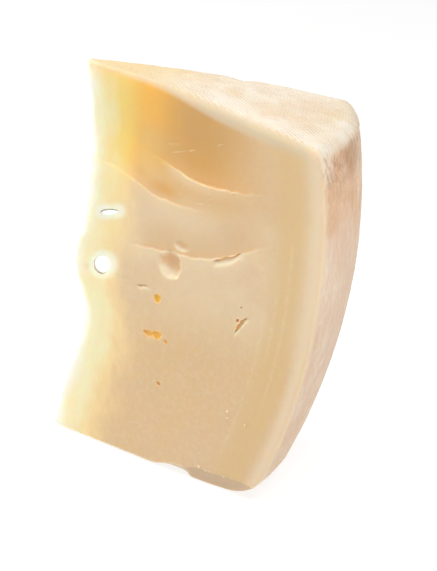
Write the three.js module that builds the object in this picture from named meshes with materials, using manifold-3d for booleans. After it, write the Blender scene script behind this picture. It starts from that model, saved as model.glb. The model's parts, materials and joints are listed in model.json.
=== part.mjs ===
// Wedge of a small wheel of hard cheese, in millimetres, +Z up.
// The wheel's axis passes near the tip, the bisector of the two cuts is +X,
// the shaved cut faces -Y and the plain cut faces +Y.
import * as THREE from 'three';
import { mergeVertices } from 'three/addons/utils/BufferGeometryUtils.js';
import Module from 'manifold-3d';

const wasm = await Module();
wasm.setup();

// Wheel: heights are measured from just above the flat face that it stands on, which lies at BASE
const BASE = -1;
const WHEEL_HEIGHT = 120;
const RIM_RADIUS = 88;
const RIM_MID_HEIGHT = 60.2;
const RIM_BULGE = 10.4;
const RIM_LEAN = 0.075;
const TOP_SLOPE = 0.03;
const TOP_DOME = 7.8;
const TOP_CORNER = 4.1;
const BASE_CORNER = 10.8;
const WHEEL_SEGMENTS = 72;

// Wedge
const HALF_ANGLE = THREE.MathUtils.degToRad(20);
const WHEEL_AXIS = new THREE.Vector3(-44.106, 0.174, -BASE);
const TIP_ROUND = 2.4;
const SHOULDER_ROUND = 3;
const SHOULDER_ROUND_TIP = 0.7;
const RIM_EDGE_ROUND = 1.2;
const BACK_EDGE_ROUND = 1.4;

// Direction in which the two pierced eyes near the tip run: away from the shaved cut
const PIERCE_DIRECTION = new THREE.Vector3(-0.262, 0.893, -0.367).normalize();

const smooth = (from, to, x) => THREE.MathUtils.smoothstep(x, from, to);
const larger = (a, b, blend) => (a + b + Math.hypot(a - b, blend) - blend) / 2;
const bump = (x, centre, width) => Math.exp(-(((x - centre) / width) ** 2));

function rimRadius(z) {
  const swell = (z - RIM_MID_HEIGHT) / 60;
  return RIM_RADIUS - RIM_BULGE * swell * swell + RIM_LEAN * (z - 60);
}

function topHeight(r) {
  return WHEEL_HEIGHT - TOP_SLOPE * r - TOP_DOME * (r / RIM_RADIUS) ** 2;
}

// Smooth curve through a few points of one line of the cut
function lineHeight(points, u) {
  if (u <= points[0][0]) return points[0][1];
  for (let i = 1; i < points.length; i += 1) {
    const [u0, z0] = points[i - 1];
    const [u1, z1] = points[i];
    if (u <= u1) return z0 + (z1 - z0) * smooth(u0, u1, u) * 0.4 + (z1 - z0) * 0.6 * ((u - u0) / (u1 - u0));
  }
  return points[points.length - 1][1];
}

// Quarter round where a face meets an edge, by distance from that edge
function edgeRound(distance, radius) {
  if (distance >= radius) return 0;
  const inside = Math.max(distance, 0);
  const fall = radius - Math.sqrt(radius * radius - (radius - inside) ** 2);
  return fall + Math.max(-distance, 0) * 2;
}

// Wheel

function cornerPoints(start, corner, end, steps) {
  const points = [];
  for (let i = 1; i <= steps; i += 1) {
    const t = i / (steps + 1);
    const a = (1 - t) * (1 - t);
    const b = 2 * t * (1 - t);
    const c = t * t;
    points.push(new THREE.Vector2(
      a * start.x + b * corner.x + c * end.x,
      a * start.y + b * corner.y + c * end.y,
    ));
  }
  return points;
}

function wheelProfile() {
  const baseRim = rimRadius(BASE);
  const topRim = rimRadius(topHeight(RIM_RADIUS));
  const topRimHeight = topHeight(topRim);
  const baseStart = new THREE.Vector2(baseRim - BASE_CORNER, BASE);
  const baseEnd = new THREE.Vector2(rimRadius(BASE + BASE_CORNER), BASE + BASE_CORNER);
  const topStart = new THREE.Vector2(rimRadius(topRimHeight - TOP_CORNER), topRimHeight - TOP_CORNER);
  const topEnd = new THREE.Vector2(topRim - TOP_CORNER, topHeight(topRim - TOP_CORNER));
  const profile = [new THREE.Vector2(0, BASE), new THREE.Vector2(baseRim / 2, BASE), baseStart];
  profile.push(...cornerPoints(baseStart, new THREE.Vector2(baseRim, BASE), baseEnd, 5));
  const rimSteps = 12;
  for (let i = 0; i <= rimSteps; i += 1) {
    const z = baseEnd.y + ((topStart.y - baseEnd.y) * i) / rimSteps;
    profile.push(new THREE.Vector2(rimRadius(z), z));
  }
  profile.push(...cornerPoints(topStart, new THREE.Vector2(topRim, topRimHeight), topEnd, 5));
  const topSteps = 8;
  for (let i = 0; i <= topSteps; i += 1) {
    const r = topEnd.x * (1 - i / topSteps);
    profile.push(new THREE.Vector2(r, topHeight(r)));
  }
  return profile;
}

// Solid of revolution about +Z
function wheelSolid() {
  const profile = wheelProfile();
  const ring = profile.slice(1, -1);
  const positions = [0, 0, BASE, 0, 0, WHEEL_HEIGHT];
  for (let i = 0; i < WHEEL_SEGMENTS; i += 1) {
    const angle = (2 * Math.PI * i) / WHEEL_SEGMENTS;
    ring.forEach((p) => positions.push(p.x * Math.cos(angle), p.x * Math.sin(angle), p.y));
  }
  const triangles = [];
  const vertex = (segment, k) => 2 + (segment % WHEEL_SEGMENTS) * ring.length + k;
  for (let i = 0; i < WHEEL_SEGMENTS; i += 1) {
    triangles.push(0, vertex(i + 1, 0), vertex(i, 0));
    triangles.push(1, vertex(i, ring.length - 1), vertex(i + 1, ring.length - 1));
    for (let k = 0; k < ring.length - 1; k += 1) {
      triangles.push(vertex(i, k), vertex(i + 1, k), vertex(i + 1, k + 1));
      triangles.push(vertex(i, k), vertex(i + 1, k + 1), vertex(i, k + 1));
    }
  }
  return toSolid(positions, triangles);
}

function toSolid(positions, triangles) {
  return new wasm.Manifold(new wasm.Mesh({
    numProp: 3,
    vertProperties: new Float32Array(positions),
    triVerts: new Uint32Array(triangles),
  }));
}

// Slab with one curved side: point(i, j, side) gives the curved side for side 0 and the flat one for 1
function slab(columns, rows, point) {
  const positions = [];
  const layer = columns * rows;
  for (let side = 0; side < 2; side += 1) {
    for (let j = 0; j < rows; j += 1) {
      for (let i = 0; i < columns; i += 1) positions.push(...point(i, j, side).toArray());
    }
  }
  const at = (i, j, side) => side * layer + j * columns + i;
  const triangles = [];
  const quad = (a, b, c, d) => triangles.push(a, b, c, a, c, d);
  for (let j = 0; j < rows - 1; j += 1) {
    for (let i = 0; i < columns - 1; i += 1) {
      quad(at(i, j, 0), at(i + 1, j, 0), at(i + 1, j + 1, 0), at(i, j + 1, 0));
      quad(at(i, j, 1), at(i, j + 1, 1), at(i + 1, j + 1, 1), at(i + 1, j, 1));
    }
  }
  for (let i = 0; i < columns - 1; i += 1) {
    quad(at(i, 0, 0), at(i, 0, 1), at(i + 1, 0, 1), at(i + 1, 0, 0));
    quad(at(i, rows - 1, 0), at(i + 1, rows - 1, 0), at(i + 1, rows - 1, 1), at(i, rows - 1, 1));
  }
  for (let j = 0; j < rows - 1; j += 1) {
    quad(at(0, j, 0), at(0, j + 1, 0), at(0, j + 1, 1), at(0, j, 1));
    quad(at(columns - 1, j, 0), at(columns - 1, j, 1), at(columns - 1, j + 1, 1), at(columns - 1, j + 1, 0));
  }
  const solid = toSolid(positions, triangles);
  return solid.volume() > 0 ? solid : toSolid(positions, triangles.reverse());
}

// Position on a cut: u from the wheel's axis, z up, depth into the cheese; side -1 is the shaved cut
function cutPoint(u, z, depth, side) {
  const cos = Math.cos(HALF_ANGLE);
  const sin = Math.sin(HALF_ANGLE);
  return new THREE.Vector3(u * cos + depth * sin, side * (u * sin - depth * cos), z);
}

// Shaved cut

const LEFT_SHAVING = {
  line: [[2, 92], [18, 90.2], [25, 87.7], [33, 84.7], [46, 84.1], [58, 86]],
  from: [0, 26], to: [38, 60], lip: 0.55, hollow: 2.2, below: 0.6,
};
const RIGHT_SHAVING = {
  line: [[24, 99.1], [33, 95.2], [41, 93.4], [47.5, 91.8], [61.5, 92.8], [78, 96]],
  from: [24, 38], to: [46, 74], lip: 0.75, hollow: 3, below: 0.8,
};
const CREASE = {
  line: [[20, 67.6], [36, 69.2], [49.6, 70], [58, 72.8], [70.5, 79.4], [74, 81]],
  from: [20, 34], to: [60, 74], lip: 0.3, hollow: 0, below: 0.1,
};

// Hollow that a shaving left under the top edge, and the lean of the cheese below its line
function shavingHollow(shaving, u, z) {
  const above = z - lineHeight(shaving.line, u);
  const along = smooth(...shaving.from, u) * (1 - smooth(...shaving.to, u));
  const lean = shaving.below * Math.exp(Math.min(above, 0) / 7);
  const belowTop = smooth(0, 20, topHeight(u) - z);
  return (lean + shaving.hollow * smooth(-2, 14, above) * belowTop) * along;
}

// Narrow strip along the foot of the shaved cut that leans in under it, and the chip at its left end
function footHeight(u) {
  return 0.4 + 2.1 * smooth(38, 45, u) + 1.6 * smooth(48, 55, u) + 0.5 * smooth(58, 68, u) - smooth(70, 76, u);
}

function footLean(u) {
  return 1.4 + 2.6 * smooth(37, 41, u) * (1 - smooth(47.6, 51.6, u)) + 0.8 * smooth(54, 66, u);
}

function footDepth(u, z) {
  const height = footHeight(u);
  return Math.max(0, (footLean(u) * (height - z)) / (height - BASE));
}

// Both cuts bulge a little at the foot of the tip
function tipFlare(u, z) {
  return (1 - smooth(4, 34, z)) * (1 - smooth(5, 26, u));
}

function shavedDepth(u, z) {
  const hollow = larger(shavingHollow(LEFT_SHAVING, u, z), shavingHollow(RIGHT_SHAVING, u, z), 0.7);
  const wave = 0.18 + 0.1 * Math.sin(u * 0.11 + 0.4) + 0.08 * Math.sin(z * 0.13 - u * 0.05);
  const shoulderRound = SHOULDER_ROUND_TIP + (SHOULDER_ROUND - SHOULDER_ROUND_TIP) * smooth(8, 45, u);
  const shoulder = edgeRound(topHeight(u) - z, shoulderRound);
  const rimEdge = edgeRound(rimRadius(z) - u, RIM_EDGE_ROUND);
  return hollow + wave + Math.max(shoulder, rimEdge) + footDepth(u, z) - 0.25 * tipFlare(u, z);
}

// Thin cutter that leaves the lip along a line and runs out above it
function lipCutter(shaving, steps) {
  const first = shaving.line[0][0];
  const last = shaving.line[shaving.line.length - 1][0];
  const columns = Math.round((last - first) / 3) + 1;
  return slab(columns, steps.length, (i, j, face) => {
    const u = first + ((last - first) * i) / (columns - 1);
    const above = steps[j];
    const z = lineHeight(shaving.line, u) + above;
    const along = smooth(...shaving.from, u) * (1 - smooth(...shaving.to, u));
    const lip = shaving.lip * smooth(-0.3, 1.2, above) * (1 - smooth(3, 13, above)) * along;
    const depth = shavedDepth(u, z) + lip - 0.06;
    return cutPoint(u, z, face === 0 ? depth : depth - 4, -1);
  });
}

function lips() {
  const steps = [-0.6, -0.3, 0.3, 1.2, 3, 5, 7, 9, 11, 13];
  return [LEFT_SHAVING, RIGHT_SHAVING, CREASE].map((shaving) => lipCutter(shaving, steps));
}

// Plain cut

function plainDepth(u, z) {
  const wave = 0.35 + 0.22 * Math.sin(z * 0.075 + 0.6) + 0.13 * Math.sin(u * 0.14 + z * 0.03);
  const shoulder = edgeRound(topHeight(u) - z, BACK_EDGE_ROUND);
  const rimEdge = edgeRound(rimRadius(z) - u, RIM_EDGE_ROUND);
  return wave + Math.max(shoulder, rimEdge, edgeRound(z - BASE, 0.8)) - 0.85 * tipFlare(u, z);
}

// Grid steps that lie closer together next to an edge
function edgeSteps(extent, spacing, edge) {
  const inner = Math.round((extent - 2 * edge) / spacing);
  const steps = [-3, 0, edge * 0.35];
  for (let i = 0; i <= inner; i += 1) steps.push(edge + ((extent - 2 * edge) * i) / inner);
  steps.push(extent - edge * 0.35, extent, extent + 3);
  return steps;
}

function cutSlab(side, depthAt, spacing, edge, low) {
  const rows = [...low, ...edgeSteps(WHEEL_HEIGHT, spacing, edge).filter((z) => z > low[low.length - 1] + 1)];
  const columns = edgeSteps(RIM_RADIUS, spacing, edge);
  const thickness = 75;
  return slab(columns.length, rows.length, (i, j, face) => {
    const roughHeight = (rows[j] / WHEEL_HEIGHT) * 112;
    const u = (columns[i] / RIM_RADIUS) * rimRadius(roughHeight);
    const z = (rows[j] / WHEEL_HEIGHT) * topHeight(u);
    return cutPoint(u, z, face === 0 ? depthAt(u, z) : thickness, side);
  });
}

// Tip

function tipDistance(z) {
  const spread = 0.1 + 4.5 * (1 - Math.exp(-z / 30));
  const foot = 0.65 * (1 - smooth(10, 34, z));
  return spread - foot + 6.4 * bump(z, 51, 27) - 5.9 * bump(z, 57.2, 12.2) + 3.1 * bump(z, 99, 18);
}

function tipSlab() {
  const rows = 43;
  const sides = [-50, -12, -6, -4, -3, -2.2, -1.5, -0.8, 0, 0.8, 1.5, 2.2, 3, 4, 6, 12, 50];
  return slab(sides.length, rows, (i, j, face) => {
    const z = -3 + (126 * j) / (rows - 1);
    const round = Math.min(sides[i] ** 2 / (2 * TIP_ROUND), 6);
    return new THREE.Vector3(face === 0 ? tipDistance(z) + round : 120, sides[i], z);
  });
}

// Eyes and cracks

// Rounded lump with an uneven skin
function lump(centre, radii, turn, detail, unevenness) {
  let geometry = new THREE.IcosahedronGeometry(1, detail);
  geometry.deleteAttribute('normal');
  geometry.deleteAttribute('uv');
  geometry = mergeVertices(geometry);
  const p = new THREE.Vector3();
  const position = geometry.getAttribute('position');
  for (let i = 0; i < position.count; i += 1) {
    p.fromBufferAttribute(position, i);
    const swell = Math.sin(3.1 * p.x + centre.x) + Math.sin(2.7 * p.y + centre.z) + Math.sin(3.7 * p.z + centre.y);
    p.multiplyScalar(1 + unevenness * swell * 0.33).multiply(radii).applyQuaternion(turn).add(centre);
    position.setXYZ(i, p.x, p.y, p.z);
  }
  return toSolid(position.array, geometry.index.array);
}

// Turn that takes a lump's X along the cut, Y into the cheese and Z up, tilted by an angle in the cut
function cutTurn(side, tilt) {
  const along = cutPoint(Math.cos(tilt), Math.sin(tilt), 0, side);
  const into = cutPoint(0, 0, 1, side);
  const up = new THREE.Vector3().crossVectors(along, into);
  return new THREE.Quaternion().setFromRotationMatrix(new THREE.Matrix4().makeBasis(along, into, up));
}

// Eye that opens on a cut: its middle on the cut, half width, half height, depth and tilt in degrees
function eye(side, u, z, halfWidth, halfHeight, depth, tilt = 0, detail = 3, unevenness = 0.06) {
  const surface = side < 0 ? shavedDepth(u, z) + 0.2 : plainDepth(u, z);
  const radii = new THREE.Vector3(halfWidth * 1.04, depth, halfHeight * 1.04);
  const turn = cutTurn(side, THREE.MathUtils.degToRad(tilt));
  return lump(cutPoint(u, z, surface + depth * 0.12, side), radii, turn, detail, unevenness);
}

// Crack: flat eyes that run into one another from one point of the cut to another
function crack(side, from, to, halfHeight, depth, count) {
  const lumps = [];
  const tilt = THREE.MathUtils.radToDeg(Math.atan2(to[1] - from[1], to[0] - from[0]));
  const length = Math.hypot(to[0] - from[0], to[1] - from[1]);
  for (let i = 0; i < count; i += 1) {
    const t = (i + 0.5) / count;
    const sway = Math.sin(2.3 * i + from[0]) * halfHeight * 0.3;
    const u = from[0] + (to[0] - from[0]) * t;
    const z = from[1] + (to[1] - from[1]) * t + sway;
    const height = halfHeight * (1 - 0.45 * Math.abs(2 * t - 1));
    const turn = tilt + 14 * Math.sin(1.7 * i + from[1]);
    lumps.push(eye(side, u, z, (length / count) * 0.95, height, depth, turn, 2, 0.12));
  }
  return lumps;
}

// Eye that runs right through the thin tip
function piercedEye(u, z, halfWidth, halfHeight, tilt) {
  const middle = cutPoint(u, z, 0, -1).addScaledVector(PIERCE_DIRECTION, u * 0.33);
  const into = PIERCE_DIRECTION;
  const level = new THREE.Vector3(0, 0, 1).cross(into).negate().normalize();
  const tilted = level.applyAxisAngle(into, THREE.MathUtils.degToRad(tilt));
  const up = new THREE.Vector3().crossVectors(tilted, into);
  const turn = new THREE.Quaternion().setFromRotationMatrix(new THREE.Matrix4().makeBasis(tilted, into, up));
  return lump(middle, new THREE.Vector3(halfWidth, u * 0.6, halfHeight), turn, 3, 0.04);
}

function shavedEyes() {
  return [
    piercedEye(15.5, 59.3, 3, 3.1, 0),
    piercedEye(17.2, 76.6, 3.1, 0.9, 4),
    eye(-1, 39.4, 65.7, 3.6, 3.85, 1.5),
    eye(-1, 42.6, 72.3, 2.3, 1.4, 0.4),
    eye(-1, 35.7, 54.1, 1.15, 1.4, 0.6, 10, 2),
    eye(-1, 33.1, 42.1, 1.65, 1, 0.6, -6, 2),
    eye(-1, 36.3, 42.4, 1.7, 1.3, 0.6, 8, 2),
    eye(-1, 39.6, 41.3, 0.75, 0.75, 0.6, 0, 2),
    eye(-1, 38, 27, 0.7, 0.7, 0.8, 0, 2),
    ...crack(-1, [28.3, 56.2], [31.9, 56.8], 0.45, 0.6, 2),
    ...crack(-1, [54.2, 71], [62.3, 75.4], 1, 0.8, 3),
    ...crack(-1, [62.9, 51.5], [66.4, 57], 0.8, 0.7, 3),
  ];
}

function plainEyes() {
  return [
    eye(1, 58.5, 78, 3.4, 3.2, 2.4),
    eye(1, 34, 92, 2.6, 2.3, 1.9, 20),
    eye(1, 46, 41, 2.9, 3, 2.2),
    eye(1, 69, 47, 1.6, 1.5, 1.3, 0, 2),
    eye(1, 30, 63, 1.4, 1.3, 1.2, 0, 2),
    eye(1, 26, 24, 2.1, 1.7, 1.5, -15, 2),
    ...crack(1, [50, 61], [57, 58.4], 0.9, 1, 3),
  ];
}

// Assembly

function toGeometry(solid) {
  const mesh = solid.getMesh();
  const geometry = new THREE.BufferGeometry();
  geometry.setAttribute('position', new THREE.BufferAttribute(new Float32Array(mesh.vertProperties), 3));
  geometry.setIndex(new THREE.BufferAttribute(new Uint32Array(mesh.triVerts), 1));
  return geometry;
}

function wedge() {
  let solid = wheelSolid();
  solid = solid.intersect(cutSlab(-1, shavedDepth, 3, SHOULDER_ROUND, [-3, 0.4, 2.5, 4.2]));
  solid = solid.intersect(cutSlab(1, plainDepth, 7.5, BACK_EDGE_ROUND, [-3, -1, 0]));
  solid = solid.intersect(tipSlab());
  [...lips(), ...shavedEyes(), ...plainEyes()].forEach((cutter) => {
    solid = solid.subtract(cutter);
  });
  return toGeometry(solid);
}

const paste = new THREE.MeshStandardMaterial({ color: 0xe6c590, roughness: 0.55 });
const body = new THREE.Mesh(wedge(), paste);
body.name = 'wedge';
body.geometry.computeVertexNormals();
body.position.copy(WHEEL_AXIS);

const group = new THREE.Group();
group.name = 'graviera_wedge';
group.add(body);

export default group;
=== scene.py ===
"""Wedge of hard cheese: fine surface, materials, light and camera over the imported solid."""
import json
import math

import bmesh
import bpy
import numpy as np
from mathutils import Matrix

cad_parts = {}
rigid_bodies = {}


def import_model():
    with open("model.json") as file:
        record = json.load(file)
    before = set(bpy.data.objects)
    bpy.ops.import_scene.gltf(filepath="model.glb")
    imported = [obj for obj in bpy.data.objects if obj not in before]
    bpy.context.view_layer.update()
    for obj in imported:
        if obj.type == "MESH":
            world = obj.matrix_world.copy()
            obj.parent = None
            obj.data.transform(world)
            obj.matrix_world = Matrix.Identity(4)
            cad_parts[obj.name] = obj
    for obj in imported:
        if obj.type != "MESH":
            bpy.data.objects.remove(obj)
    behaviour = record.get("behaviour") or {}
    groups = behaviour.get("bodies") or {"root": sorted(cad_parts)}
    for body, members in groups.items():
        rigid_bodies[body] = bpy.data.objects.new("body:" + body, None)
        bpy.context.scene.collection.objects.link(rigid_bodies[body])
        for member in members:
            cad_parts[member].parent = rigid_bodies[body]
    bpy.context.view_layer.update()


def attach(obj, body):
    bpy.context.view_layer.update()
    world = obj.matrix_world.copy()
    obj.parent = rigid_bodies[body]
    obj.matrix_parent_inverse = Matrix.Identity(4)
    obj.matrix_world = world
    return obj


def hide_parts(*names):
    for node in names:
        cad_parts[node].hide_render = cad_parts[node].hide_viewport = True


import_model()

# Sizes in millimetres, measured from the wheel's axis; the wheel's flat face lies at BASE
MM = 0.001
BASE = -1.0
WHEEL_AXIS = np.array([-44.106, 0.174, -BASE])
WHEEL_HEIGHT = 120.0
RIM_RADIUS = 88.0
RIM_MID_HEIGHT = 60.2
RIM_BULGE = 10.4
RIM_LEAN = 0.075
TOP_SLOPE = 0.03
TOP_DOME = 7.8
TOP_CORNER_ROUND = 3.0
BASE_CORNER_ROUND = 9.8
HALF_ANGLE = math.radians(20.0)
TIP_ROUND = 2.4
SHOULDER_ROUND = 3.0
SHOULDER_ROUND_TIP = 0.7
FRONT_EDGE_ROUND = 1.3
BACK_EDGE_ROUND = 1.4
FOOT_ROUND = 0.7

# Lines left by the knife on the shaved cut: height over distance from the axis, where the shaving starts
# and ends, depth of its lip, of its hollow and below the line, strength of its painted highlight and shade,
# where these fade in
LEFT_SHAVING = {
    "line": ((2, 92), (18, 90.2), (25, 87.7), (33, 84.7), (46, 84.1), (58, 86)),
    "start": (0, 26), "end": (34, 54), "lip": 0.4, "hollow": 2.2, "below": 0.6, "mark": 0.6,
    "seen": (15.0, 29.0),
}
RIGHT_SHAVING = {
    "line": ((24, 99.1), (33, 95.2), (41, 93.4), (47.5, 91.8), (61.5, 92.8), (78, 96)),
    "start": (24, 38), "end": (46, 74), "lip": 0.6, "hollow": 3.0, "below": 0.8, "mark": 1.0,
    "seen": (31.0, 39.0),
}
CREASE = {
    "line": ((20, 67.6), (36, 69.2), (49.6, 70), (58, 72.8), (70.5, 79.4), (74, 81)),
    "start": (20, 34), "end": (60, 74), "lip": 0.3, "hollow": 0.0, "below": 0.1, "mark": 0.65,
    "seen": (20.0, 32.0),
}
KNIFE_LINES = {"left": LEFT_SHAVING, "right": RIGHT_SHAVING, "crease": CREASE}

# Fine scratches of the shaved cut: from, to
SCRATCHES = (
    ((35.0, 98.2), (45.0, 101.4)),
    ((33.6, 100.6), (39.0, 101.6)),
    ((50.0, 103.6), (54.6, 105.8)),
    ((45.8, 86.3), (50.4, 86.8)),
)

# Pale band under the top edge of the cut: how wide it is at the tip and how much it widens, and where
BAND_AT_TIP = 0.6
BAND_GROWTH = 3.3
BAND_SPREAD = (26.0, 56.0)

# Cloth print of the rind
CLOTH_PITCH = 1.25
CLOTH_ANGLE = math.radians(-46.0)
CLOTH_DEPTH = 0.1
CROSS_PITCH = 1.35

# Shallow eyes of the shaved cut: place along and up, half width, half height, depth
BOWLS = (
    (39.4, 65.7, 3.7, 3.95, 1.9),
    (42.6, 72.3, 2.4, 1.5, 0.5),
    (9.3, 56.2, 1.4, 1.4, 0.35),
)

# Torn slits of the shaved cut: line, half height, depth, seed
SLITS = (
    (((54.2, 71.0), (56.2, 71.7), (58.6, 72.6), (60.6, 73.9), (62.3, 75.4)), 1.0, 0.7, 31),
    (((62.9, 51.5), (63.6, 52.6), (64.4, 54.2), (65.3, 55.5), (66.4, 57.0)), 0.85, 0.8, 32),
    (((28.3, 56.3), (29.4, 56.2), (30.6, 56.8), (31.9, 56.8)), 0.5, 0.45, 33),
)

# Small eyes of the shaved cut, with a painted deep-yellow glow of light scattered into them: place along and
# up, half width, half height, tilt, strength of that glow
SMALL_EYES = (
    (35.7, 54.1, 1.35, 1.5, 10.0, 1.0),
    (33.1, 42.1, 1.8, 1.2, -6.0, 0.75),
    (36.3, 42.4, 1.9, 1.45, 8.0, 0.9),
    (39.6, 41.3, 0.75, 0.75, 0.0, 0.5),
)

# Eyes that run right through the thin tip: place along and up, half width, half height, tilt
PIERCED_EYES = (
    (15.5, 59.3, 3.0, 3.1, 0.0),
    (17.2, 76.6, 3.1, 0.9, 4.0),
)
PIERCE_DIRECTION = np.array([-0.262, 0.893, -0.367])

# Larger crumbs that cling to the shaved cut: place along and up, size
CRUMBS = (
    (62.9, 26.1, 0.5), (63.0, 24.0, 0.35), (69.3, 23.7, 0.35), (54.9, 4.6, 0.45), (22.0, 57.3, 0.3),
    (50.9, 90.3, 0.2), (51.3, 88.7, 0.14), (51.0, 86.9, 0.18), (51.2, 85.0, 0.14), (54.6, 4.9, 0.3),
)


# Curves and noise

def smooth(start, end, x):
    t = np.clip((x - start) / (end - start), 0.0, 1.0)
    return t * t * (3.0 - 2.0 * t)


def bump(x, centre, width):
    return np.exp(-(((x - centre) / width) ** 2))


def larger(a, b, blend):
    return (a + b + np.hypot(a - b, blend) - blend) / 2.0


def rounded(a, b, radius):
    """Inside distance of two overlapping bodies with a round edge between them."""
    inner = radius - np.hypot(np.maximum(radius - a, 0.0), np.maximum(radius - b, 0.0))
    return np.where((a < radius) & (b < radius), inner, np.minimum(a, b))


def noise(x, y, seed):
    """Smooth random field between -1 and 1 with features one unit across."""
    table = np.random.default_rng(seed).uniform(-1.0, 1.0, (64, 64))
    column = np.floor(x).astype(int)
    row = np.floor(y).astype(int)
    across = smooth(0.0, 1.0, x - column)
    down = smooth(0.0, 1.0, y - row)
    left, right = column % 64, (column + 1) % 64
    low, high = row % 64, (row + 1) % 64
    near = table[left, low] * (1 - across) + table[right, low] * across
    far = table[left, high] * (1 - across) + table[right, high] * across
    return near * (1 - down) + far * down


def line_height(line, u):
    places, heights = np.array(line, dtype=float).T
    soft = sum(np.interp(u + shift, places, heights) for shift in (-2.5, 0.0, 2.5)) / 3.0
    return soft + 0.22 * noise(u / 1.7, u * 0.0, int(heights[0]))


# Shape of the wheel and of the cuts

def rim_radius(z):
    swell = (z - RIM_MID_HEIGHT) / 60.0
    return RIM_RADIUS - RIM_BULGE * swell ** 2 + RIM_LEAN * (z - 60.0)


def top_height(r):
    return WHEEL_HEIGHT - TOP_SLOPE * r - TOP_DOME * (r / RIM_RADIUS) ** 2


def top_nick(points):
    """Shallow nick in the top rind at the plain cut."""
    u, depth = cut_place(points, 1)
    return 0.65 * bump(u, 50.6, 2.8) * (1.0 - smooth(1.0, 7.0, depth))


def tip_flare(u, z):
    """Both cuts bulge a little at the foot of the tip."""
    return (1.0 - smooth(4.0, 34.0, z)) * (1.0 - smooth(5.0, 26.0, u))


def tip_distance(z):
    spread = 0.1 + 4.5 * (1.0 - np.exp(-z / 30.0)) - 0.65 * (1.0 - smooth(10.0, 34.0, z))
    between = smooth(4.0, 12.0, z) * (1.0 - smooth(108.0, 116.0, z))
    crumbled = 0.22 * (1.0 + noise(z / 2.6, z * 0.0, 1)) * between
    return spread + 6.4 * bump(z, 51, 27) - 5.9 * bump(z, 57.2, 12.2) + 3.1 * bump(z, 99, 18) + crumbled


def cut_place(points, side):
    """Distance from the axis along a cut and depth behind it; side -1 is the shaved cut."""
    cos, sin = math.cos(HALF_ANGLE), math.sin(HALF_ANGLE)
    along = points[:, 0] * cos + side * points[:, 1] * sin
    depth = points[:, 0] * sin - side * points[:, 1] * cos
    return along, depth


def cut_point(u, z, depth, side):
    cos, sin = math.cos(HALF_ANGLE), math.sin(HALF_ANGLE)
    return np.array([u * cos + depth * sin, side * (u * sin - depth * cos), z])


def reach(shaving, u):
    return smooth(*shaving["start"], u) * (1.0 - smooth(*shaving["end"], u))


def shaving_hollow(shaving, u, z):
    above = z - line_height(shaving["line"], u)
    lean = shaving["below"] * np.exp(np.minimum(above, 0.0) / 7.0)
    below_top = smooth(0.0, 20.0, top_height(u) - z)
    return (lean + shaving["hollow"] * smooth(-2.0, 14.0, above) * below_top) * reach(shaving, u)


def lip_depth(shaving, u, z):
    above = z - line_height(shaving["line"], u)
    step = smooth(-0.15, 0.45, above) * (1.0 - smooth(3.0, 13.0, above))
    return shaving["lip"] * step * reach(shaving, u)


def foot_height(u):
    rise = 2.1 * smooth(38.0, 45.0, u) + 1.6 * smooth(48.0, 55.0, u) + 0.5 * smooth(58.0, 68.0, u)
    return 0.4 + rise - smooth(70.0, 76.0, u)


def foot_inside(u, z, depth):
    """Inside distance of the narrow strip along the foot of the shaved cut, chipped at its left end."""
    chip = 2.6 * smooth(37.0, 41.0, u) * (1.0 - smooth(47.6, 51.6, u))
    lean = 1.4 + chip + 0.8 * smooth(54.0, 66.0, u)
    slope = lean / (foot_height(u) - BASE)
    return (depth - slope * (foot_height(u) - z)) / np.hypot(1.0, slope)


def front_inside(points):
    u, depth = cut_place(points, -1)
    z = points[:, 2]
    hollow = larger(shaving_hollow(LEFT_SHAVING, u, z), shaving_hollow(RIGHT_SHAVING, u, z), 0.7)
    wave = 0.18 + 0.1 * np.sin(u * 0.11 + 0.4) + 0.08 * np.sin(z * 0.13 - u * 0.05)
    wave = wave - 0.25 * tip_flare(u, z)
    plane = depth - hollow - wave
    return rounded(plane, foot_inside(u, z, depth - wave), 0.35)


def back_inside(points):
    u, depth = cut_place(points, 1)
    z = points[:, 2]
    wave = 0.35 + 0.22 * np.sin(z * 0.075 + 0.6) + 0.13 * np.sin(u * 0.14 + z * 0.03)
    return depth - wave + 0.85 * tip_flare(u, z)


def wheel_inside(points):
    r = np.hypot(points[:, 0], points[:, 1])
    z = points[:, 2]
    outer = rounded(top_height(r) - top_nick(points) - z, rim_radius(z) - r, TOP_CORNER_ROUND)
    return rounded(outer, z - BASE, BASE_CORNER_ROUND)


def wedge_inside(points):
    """Inside distance of the whole wedge, without its fine relief."""
    front = front_inside(points)
    back = back_inside(points)
    z = points[:, 2]
    r = np.hypot(points[:, 0], points[:, 1])
    near_top = 1.0 - smooth(2.0, 14.0, top_height(r) - z)
    near_foot = 1.0 - smooth(1.0, 7.0, z)
    u, _ = cut_place(points, -1)
    shoulder = SHOULDER_ROUND_TIP + (SHOULDER_ROUND - SHOULDER_ROUND_TIP) * smooth(8.0, 45.0, u)
    front_round = FRONT_EDGE_ROUND + (shoulder - FRONT_EDGE_ROUND) * near_top
    front_round = front_round + (FOOT_ROUND - front_round) * near_foot
    back_round = BACK_EDGE_ROUND + (FOOT_ROUND - BACK_EDGE_ROUND) * near_foot
    edge = front_round + (back_round - front_round) * smooth(-2.0, 2.0, front - back)
    cuts = rounded(front, back, 0.5)
    tip = points[:, 0] - tip_distance(z) - np.minimum(points[:, 1] ** 2 / (2.0 * TIP_ROUND), 6.0)
    return rounded(rounded(cuts, wheel_inside(points), edge), tip, 0.4)


def inward(points):
    """Gradient of the inside distance, by central differences."""
    step = 0.03
    slopes = []
    for axis in range(3):
        shift = np.zeros(3)
        shift[axis] = step
        slopes.append((wedge_inside(points + shift) - wedge_inside(points - shift)) / (2 * step))
    return np.stack(slopes, axis=1)


# Fine relief, as depth below the smooth shape

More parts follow.
